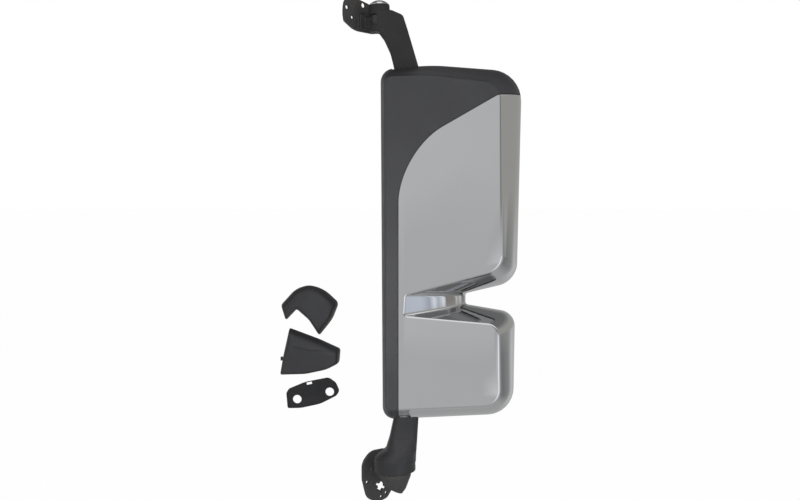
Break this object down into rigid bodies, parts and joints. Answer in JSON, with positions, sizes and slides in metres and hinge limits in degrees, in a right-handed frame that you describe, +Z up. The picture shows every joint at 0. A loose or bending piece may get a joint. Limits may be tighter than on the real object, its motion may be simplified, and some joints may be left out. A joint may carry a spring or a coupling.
{
  "type": "side mirror",
  "caption": "Heavy vehicle side mirror: tall head with main and wide-angle glass in a black and chrome housing, hinged between an upper and a lower bracket, with loose covers.",
  "frame": {"origin": "back face of the lower flange, at the centre of its three-bolt circle", "axes": "+Z up along the head, +X outboard away from the cab, +Y rearward, the way the glasses look"},
  "size_m": [0.4753, 0.1299, 1.0038],
  "materials": {
    "bracket_black": "satin black coating",
    "plain_steel": "zinc plated",
    "bright_steel": "polished",
    "cast_metal": "as cast",
    "housing_black": "fine grained moulding",
    "gasket_black": "matt",
    "chrome": "bright plated plastic",
    "nylon": "natural",
    "cable_black": "smooth",
    "inner_black": "satin",
    "brass": "turned",
    "motor_steel": "drawn can",
    "heater_foil": "printed foil",
    "mirror_glass": "silvered glass"
  },
  "bodies": {
    "brackets": {"lower_bracket": "bracket_black", "lower_pivot_pin": "plain_steel", "detent_ring": "nylon", "spring_washers": "plain_steel", "lower_pivot_nut": "plain_steel", "upper_bracket": "bracket_black", "upper_pivot_bolt": "bracket_black", "upper_washer": "bright_steel", "upper_dome_nut": "bright_steel", "arched_cap": "housing_black", "tapered_cap": "housing_black", "flange_gasket": "gasket_black"},
    "head": {"lower_arm": "cast_metal", "lower_arm_cover": "housing_black", "lower_bush": "nylon", "upper_arm": "bracket_black", "upper_bushes": "nylon", "spine_tube": "plain_steel", "front_housing": "housing_black", "chrome_cover": "chrome", "rear_bezel": "housing_black", "mounting_plate": "plain_steel", "tube_clamps": "plain_steel", "clamp_screws": "plain_steel", "bezel_screws": "plain_steel", "wire_harness": "cable_black", "main_actuator_base": "inner_black", "main_gear_cover": "inner_black", "main_tilt_motor": "motor_steel", "main_pan_motor": "motor_steel", "wide_actuator_base": "inner_black", "wide_gear_cover": "inner_black", "wide_tilt_motor": "motor_steel", "wide_pan_motor": "motor_steel"},
    "main_gimbal": {"main_gimbal_ring": "nylon"},
    "main_mirror": {"main_carrier": "inner_black", "main_heater": "heater_foil", "main_glass": "mirror_glass"},
    "main_tilt_gear": {"main_tilt_gear": "nylon"},
    "main_tilt_pinion": {"main_tilt_pinion": "brass"},
    "main_tilt_spindle": {"main_tilt_spindle": "plain_steel"},
    "main_pan_gear": {"main_pan_gear": "nylon"},
    "main_pan_pinion": {"main_pan_pinion": "brass"},
    "main_pan_spindle": {"main_pan_spindle": "plain_steel"},
    "wide_gimbal": {"wide_gimbal_ring": "nylon"},
    "wide_mirror": {"wide_carrier": "inner_black", "wide_heater": "heater_foil", "wide_glass": "mirror_glass"},
    "wide_tilt_gear": {"wide_tilt_gear": "nylon"},
    "wide_tilt_pinion": {"wide_tilt_pinion": "brass"},
    "wide_tilt_spindle": {"wide_tilt_spindle": "plain_steel"},
    "wide_pan_gear": {"wide_pan_gear": "nylon"},
    "wide_pan_pinion": {"wide_pan_pinion": "brass"},
    "wide_pan_spindle": {"wide_pan_spindle": "plain_steel"}
  },
  "joints": [
    {"name": "fold", "type": "hinge", "parent": "brackets", "child": "head", "pos_m": [0.03888, -0.05124, 0], "axis": [-0.0332, 0, 0.9995], "range_deg": [-60, 40]},
    {"name": "main_tilt", "type": "hinge", "parent": "head", "child": "main_gimbal", "pos_m": [0.17075, -0.033, 0.599], "axis": [1, 0, 0], "range_deg": [-5, 5]},
    {"name": "main_pan", "type": "hinge", "parent": "main_gimbal", "child": "main_mirror", "pos_m": [0.17075, -0.033, 0.599], "axis": [0, 0, 1], "range_deg": [-6, 6]},
    {"name": "main_tilt_screw", "type": "slide", "parent": "head", "child": "main_tilt_spindle", "axis": [0, 1, 0], "range_m": [-0.0046, 0.0046]},
    {"name": "main_tilt_gear_turn", "type": "hinge", "parent": "head", "child": "main_tilt_gear", "pos_m": [0.17075, -0.066, 0.641], "axis": [0, 1, 0], "range_deg": [-140, 140]},
    {"name": "main_tilt_pinion_turn", "type": "hinge", "parent": "head", "child": "main_tilt_pinion", "pos_m": [0.17075, -0.066, 0.66115], "axis": [0, 1, 0], "range_deg": [-420, 420]},
    {"name": "main_pan_screw", "type": "slide", "parent": "head", "child": "main_pan_spindle", "axis": [0, 1, 0], "range_m": [-0.0046, 0.0046]},
    {"name": "main_pan_gear_turn", "type": "hinge", "parent": "head", "child": "main_pan_gear", "pos_m": [0.12875, -0.066, 0.599], "axis": [0, 1, 0], "range_deg": [-140, 140]},
    {"name": "main_pan_pinion_turn", "type": "hinge", "parent": "head", "child": "main_pan_pinion", "pos_m": [0.1086, -0.066, 0.599], "axis": [0, 1, 0], "range_deg": [-420, 420]},
    {"name": "wide_tilt", "type": "hinge", "parent": "head", "child": "wide_gimbal", "pos_m": [0.16525, -0.033, 0.2305], "axis": [1, 0, 0], "range_deg": [-6, 6]},
    {"name": "wide_pan", "type": "hinge", "parent": "wide_gimbal", "child": "wide_mirror", "pos_m": [0.16525, -0.033, 0.2305], "axis": [0, 0, 1], "range_deg": [-6, 6]},
    {"name": "wide_tilt_screw", "type": "slide", "parent": "head", "child": "wide_tilt_spindle", "axis": [0, 1, 0], "range_m": [-0.0046, 0.0046]},
    {"name": "wide_tilt_gear_turn", "type": "hinge", "parent": "head", "child": "wide_tilt_gear", "pos_m": [0.16525, -0.066, 0.2725], "axis": [0, 1, 0], "range_deg": [-140, 140]},
    {"name": "wide_tilt_pinion_turn", "type": "hinge", "parent": "head", "child": "wide_tilt_pinion", "pos_m": [0.16525, -0.066, 0.29265], "axis": [0, 1, 0], "range_deg": [-420, 420]},
    {"name": "wide_pan_screw", "type": "slide", "parent": "head", "child": "wide_pan_spindle", "axis": [0, 1, 0], "range_m": [-0.0046, 0.0046]},
    {"name": "wide_pan_gear_turn", "type": "hinge", "parent": "head", "child": "wide_pan_gear", "pos_m": [0.12325, -0.066, 0.2305], "axis": [0, 1, 0], "range_deg": [-140, 140]},
    {"name": "wide_pan_pinion_turn", "type": "hinge", "parent": "head", "child": "wide_pan_pinion", "pos_m": [0.1031, -0.066, 0.2305], "axis": [0, 1, 0], "range_deg": [-420, 420]}
  ],
  "couplings": [
    {"joint": "main_tilt_screw", "follows": "main_tilt", "m_per_rad": -0.042},
    {"joint": "main_tilt_gear_turn", "follows": "main_tilt", "ratio": 21.991},
    {"joint": "main_tilt_pinion_turn", "follows": "main_tilt", "ratio": -65.973},
    {"joint": "main_pan_screw", "follows": "main_pan", "m_per_rad": -0.042},
    {"joint": "main_pan_gear_turn", "follows": "main_pan", "ratio": 21.991},
    {"joint": "main_pan_pinion_turn", "follows": "main_pan", "ratio": -65.973},
    {"joint": "wide_tilt_screw", "follows": "wide_tilt", "m_per_rad": -0.042},
    {"joint": "wide_tilt_gear_turn", "follows": "wide_tilt", "ratio": 21.991},
    {"joint": "wide_tilt_pinion_turn", "follows": "wide_tilt", "ratio": -65.973},
    {"joint": "wide_pan_screw", "follows": "wide_pan", "m_per_rad": -0.042},
    {"joint": "wide_pan_gear_turn", "follows": "wide_pan", "ratio": 21.991},
    {"joint": "wide_pan_pinion_turn", "follows": "wide_pan", "ratio": -65.973}
  ]
}
